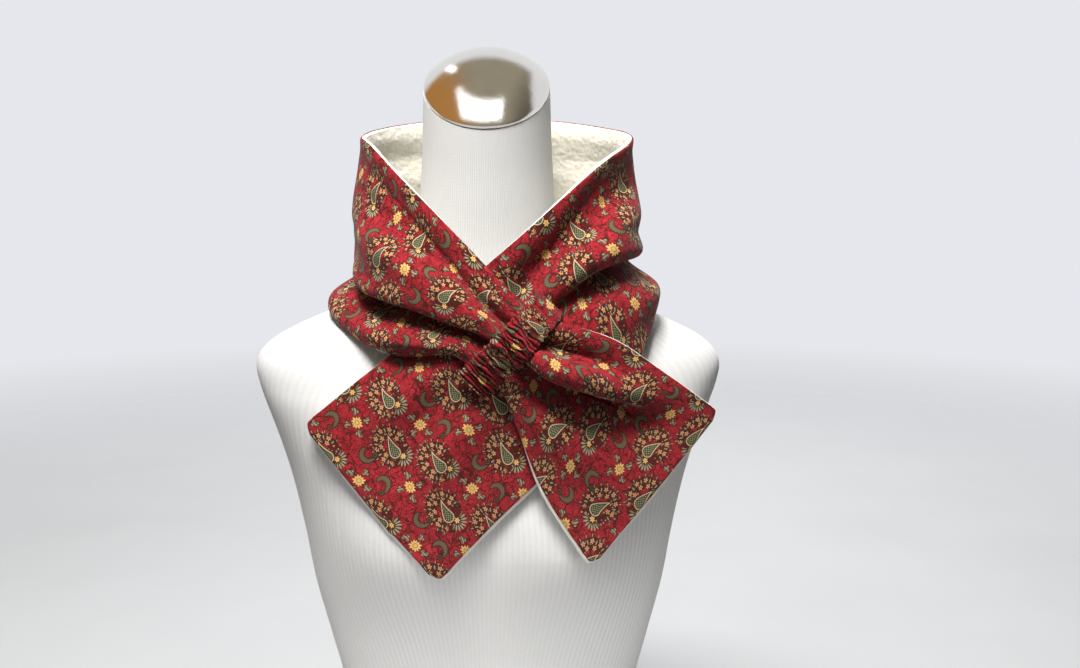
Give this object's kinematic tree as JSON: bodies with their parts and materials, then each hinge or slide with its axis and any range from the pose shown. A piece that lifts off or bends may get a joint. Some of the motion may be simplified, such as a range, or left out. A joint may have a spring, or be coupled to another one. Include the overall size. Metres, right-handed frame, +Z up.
{
  "type": "neck warmer on a dress form",
  "caption": "Printed cotton neck warmer lined with boa fleece, crossed in front with one end drawn through a gathered elastic loop, on a limbless dress form.",
  "frame": {"origin": "on the surface that the form stands on, below the middle of the part's box", "axes": "+Z up along the form's neck, -Y is the front that the form faces, +X is to the right seen from the front"},
  "size_m": [0.384, 0.2435, 0.6855],
  "materials": {
    "printed_cotton": "matt plain-weave cotton with a small printed paisley on deep red",
    "boa_fleece": "thick cream boa fleece with short curled tufts",
    "white_jersey": "white rib-knit jersey cover",
    "polished_chrome": "polished pressed-metal dome"
  },
  "bodies": {
    "root": {"shell_under_end": "printed_cotton", "shell_collar_back": "printed_cotton", "shell_over_end": "printed_cotton", "elastic_loop": "printed_cotton", "lining_under_end": "boa_fleece", "lining_collar_back": "boa_fleece", "lining_over_end": "boa_fleece", "dress_form": "white_jersey", "neck_cap": "polished_chrome"}
  },
  "joints": []
}
